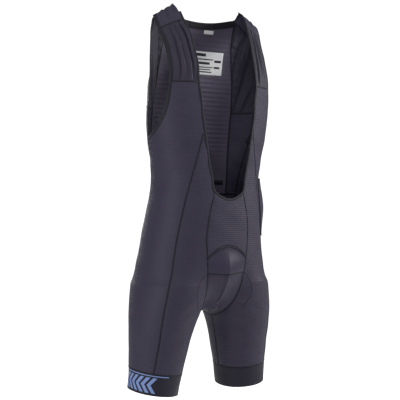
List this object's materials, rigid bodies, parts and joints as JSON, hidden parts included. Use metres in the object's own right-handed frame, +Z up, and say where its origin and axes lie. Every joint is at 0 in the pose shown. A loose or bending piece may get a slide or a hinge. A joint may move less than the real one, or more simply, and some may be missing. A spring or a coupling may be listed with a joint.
{
  "type": "padded bib shorts",
  "caption": "Dark grey padded bib shorts with gathered mesh straps, a deep scooped front, a seat pad and printed leg bands.",
  "frame": {"origin": "midway between the tops of the two shoulder straps, at their height", "axes": "+Z up, -Y out of the front, +X to the wearer's left"},
  "size_m": [0.3772, 0.2247, 0.9198],
  "materials": {
    "knit": "matt",
    "mesh": "matt",
    "binding": "matt",
    "pad": "matt",
    "band": "matt",
    "label": "satin"
  },
  "bodies": {
    "root": {"armhole_binding_left": "binding", "armhole_binding_right": "binding", "back_leg_left": "knit", "back_leg_right": "knit", "back_mesh_left": "mesh", "back_mesh_right": "mesh", "back_panel": "mesh", "back_side_left": "knit", "back_side_right": "knit", "back_tape": "binding", "care_label": "label", "centre_front": "knit", "cup_upper": "pad", "front_thigh_left": "knit", "front_thigh_right": "knit", "gusset": "pad", "hip_pocket_left": "band", "leg_band_left": "band", "leg_band_right": "band", "neck_binding_back": "binding", "neck_binding_front": "binding", "shoulder_yoke_left": "knit", "shoulder_yoke_right": "knit", "side_left": "knit", "side_right": "knit", "size_tag": "label", "strap_front_left": "mesh", "strap_front_right": "mesh"}
  },
  "joints": []
}
